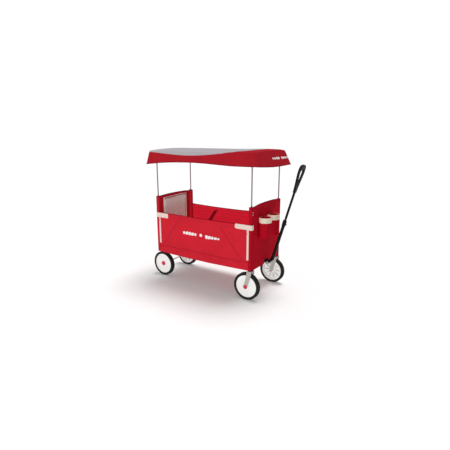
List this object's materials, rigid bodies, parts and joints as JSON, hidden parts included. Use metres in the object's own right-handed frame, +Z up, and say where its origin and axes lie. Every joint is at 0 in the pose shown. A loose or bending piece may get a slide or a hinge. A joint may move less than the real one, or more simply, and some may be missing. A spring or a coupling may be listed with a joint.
{
  "type": "folding wagon",
  "caption": "Folding fabric pull wagon with a removable canopy, zip-down side, swivelling front casters, cup holders and a telescoping loop handle.",
  "frame": {"origin": "on the floor, under the middle of the overall length and width", "axes": "+X to the front, where the handle is; +Y to the wagon's left; +Z up"},
  "size_m": [1.1898, 0.504, 1.0143],
  "materials": {
    "side_cloth": "matte",
    "end_cloth": "matte",
    "canopy_cloth": "matte",
    "mat_cloth": "matte",
    "pad_cloth": "matte",
    "webbing": "matte",
    "trim_cloth": "matte",
    "zipper": "satin",
    "tyre": "matte",
    "wheel_plastic": "satin",
    "cap_plastic": "satin",
    "fork_plastic": "satin",
    "black_plastic": "satin",
    "handle_metal": "satin",
    "frame_metal": "satin",
    "pole_metal": "satin",
    "bare_steel": "satin"
  },
  "bodies": {
    "rear_end": {"rear_posts": "frame_metal", "rear_top_bow": "frame_metal", "rear_lower_bar": "frame_metal", "rear_panel": "end_cloth", "rear_poles": "pole_metal", "rear_pole_sockets": "cap_plastic", "rear_fold_arms": "frame_metal", "rear_fold_pin": "bare_steel", "rear_axle_brackets": "frame_metal", "rear_axle": "bare_steel", "far_wall": "side_cloth", "near_skirt": "side_cloth", "seat_pad": "pad_cloth", "seat_belt": "webbing"},
    "rear_floor": {"rear_floor_rails": "frame_metal", "rear_floor_crossbars": "frame_metal", "rear_floor_mat": "mat_cloth", "centre_fold_pin": "bare_steel", "pull_strap": "webbing"},
    "front_floor": {"front_floor_rails": "frame_metal", "front_floor_crossbars": "frame_metal", "front_floor_mat": "mat_cloth"},
    "front_end": {"front_posts": "frame_metal", "front_top_bow": "frame_metal", "front_lower_bar": "frame_metal", "front_panel": "end_cloth", "front_poles": "pole_metal", "front_pole_sockets": "cap_plastic", "front_fold_arms": "frame_metal", "front_fold_pin": "bare_steel", "caster_housings": "black_plastic", "handle_bracket": "black_plastic", "cup_holders": "end_cloth", "cup_bands": "trim_cloth"},
    "handle": {"handle_lower_tube": "handle_metal", "handle_collar": "black_plastic"},
    "handle_lock": {"handle_button": "black_plastic"},
    "handle_extension": {"handle_upper_tube": "handle_metal", "handle_grip": "black_plastic"},
    "flap": {"near_flap": "side_cloth", "flap_zippers": "zipper", "flap_tabs": "trim_cloth"},
    "canopy": {"canopy_cover": "canopy_cloth"},
    "rear_near_wheel_body": {"rear_near_tyre": "tyre", "rear_near_wheel": "wheel_plastic", "rear_near_hub_cap": "cap_plastic"},
    "front_near_wheel_body": {"front_near_tyre": "tyre", "front_near_wheel": "wheel_plastic"},
    "near_caster": {"near_caster_fork": "fork_plastic", "near_caster_fork_bolt": "bare_steel", "near_caster_fork_cap": "cap_plastic"},
    "rear_far_wheel_body": {"rear_far_tyre": "tyre", "rear_far_wheel": "wheel_plastic", "rear_far_hub_cap": "cap_plastic"},
    "front_far_wheel_body": {"front_far_tyre": "tyre", "front_far_wheel": "wheel_plastic"},
    "far_caster": {"far_caster_fork": "fork_plastic", "far_caster_fork_bolt": "bare_steel", "far_caster_fork_cap": "cap_plastic"}
  },
  "joints": [
    {"name": "wagon_fold", "type": "hinge", "parent": "rear_end", "child": "rear_floor", "pos_m": [-0.43091, 0, 0.228], "axis": [0, -1, 0], "range_deg": [0, 75], "deforming": ["far_wall", "near_skirt", "near_flap", "flap_zippers", "flap_tabs", "seat_belt", "canopy_cover"]},
    {"name": "fold_centre", "type": "hinge", "parent": "rear_floor", "child": "front_floor", "pos_m": [-0.08091, 0, 0.228], "axis": [0, -1, 0], "range_deg": [-150, 0]},
    {"name": "fold_front", "type": "hinge", "parent": "front_floor", "child": "front_end", "pos_m": [0.26909, 0, 0.228], "axis": [0, -1, 0], "range_deg": [0, 75]},
    {"name": "rear_near_wheel_spin", "type": "hinge", "parent": "rear_end", "child": "rear_near_wheel_body", "pos_m": [-0.49791, -0.148, 0.097], "axis": [0, 1, 0], "continuous": true},
    {"name": "near_caster_swivel", "type": "hinge", "parent": "front_end", "child": "near_caster", "pos_m": [0.32409, -0.192, 0.215], "axis": [0, 0, 1], "continuous": true},
    {"name": "front_near_wheel_spin", "type": "hinge", "parent": "near_caster", "child": "front_near_wheel_body", "pos_m": [0.29609, -0.192, 0.097], "axis": [0, 1, 0], "continuous": true},
    {"name": "rear_far_wheel_spin", "type": "hinge", "parent": "rear_end", "child": "rear_far_wheel_body", "pos_m": [-0.49791, 0.148, 0.097], "axis": [0, 1, 0], "continuous": true},
    {"name": "far_caster_swivel", "type": "hinge", "parent": "front_end", "child": "far_caster", "pos_m": [0.32409, 0.192, 0.215], "axis": [0, 0, 1], "continuous": true},
    {"name": "front_far_wheel_spin", "type": "hinge", "parent": "far_caster", "child": "front_far_wheel_body", "pos_m": [0.29609, 0.192, 0.097], "axis": [0, 1, 0], "continuous": true},
    {"name": "handle_pitch", "type": "hinge", "parent": "front_end", "child": "handle", "pos_m": [0.35809, 0, 0.226], "axis": [0, 1, 0], "range_deg": [0, 88]},
    {"name": "handle_slide", "type": "slide", "parent": "handle", "child": "handle_extension", "axis": [0.2857, 0, 0.9583], "range_m": [-0.18, 0]},
    {"name": "handle_button_press", "type": "slide", "parent": "handle", "child": "handle_lock", "axis": [-0.9583, 0, 0.2857], "range_m": [0, 0.0015], "stiffness_N_per_m": 800},
    {"name": "flap_hinge", "type": "hinge", "parent": "rear_end", "child": "flap", "pos_m": [-0.08091, -0.20725, 0.27], "axis": [1, 0, 0], "range_deg": [0, 170]},
    {"name": "canopy_lift", "type": "slide", "parent": "rear_end", "child": "canopy", "axis": [0, 0, 1], "range_m": [0, 0.15]}
  ],
  "couplings": [
    {"joint": "fold_centre", "follows": "wagon_fold", "ratio": -2},
    {"joint": "fold_front", "follows": "wagon_fold", "ratio": 1}
  ]
}
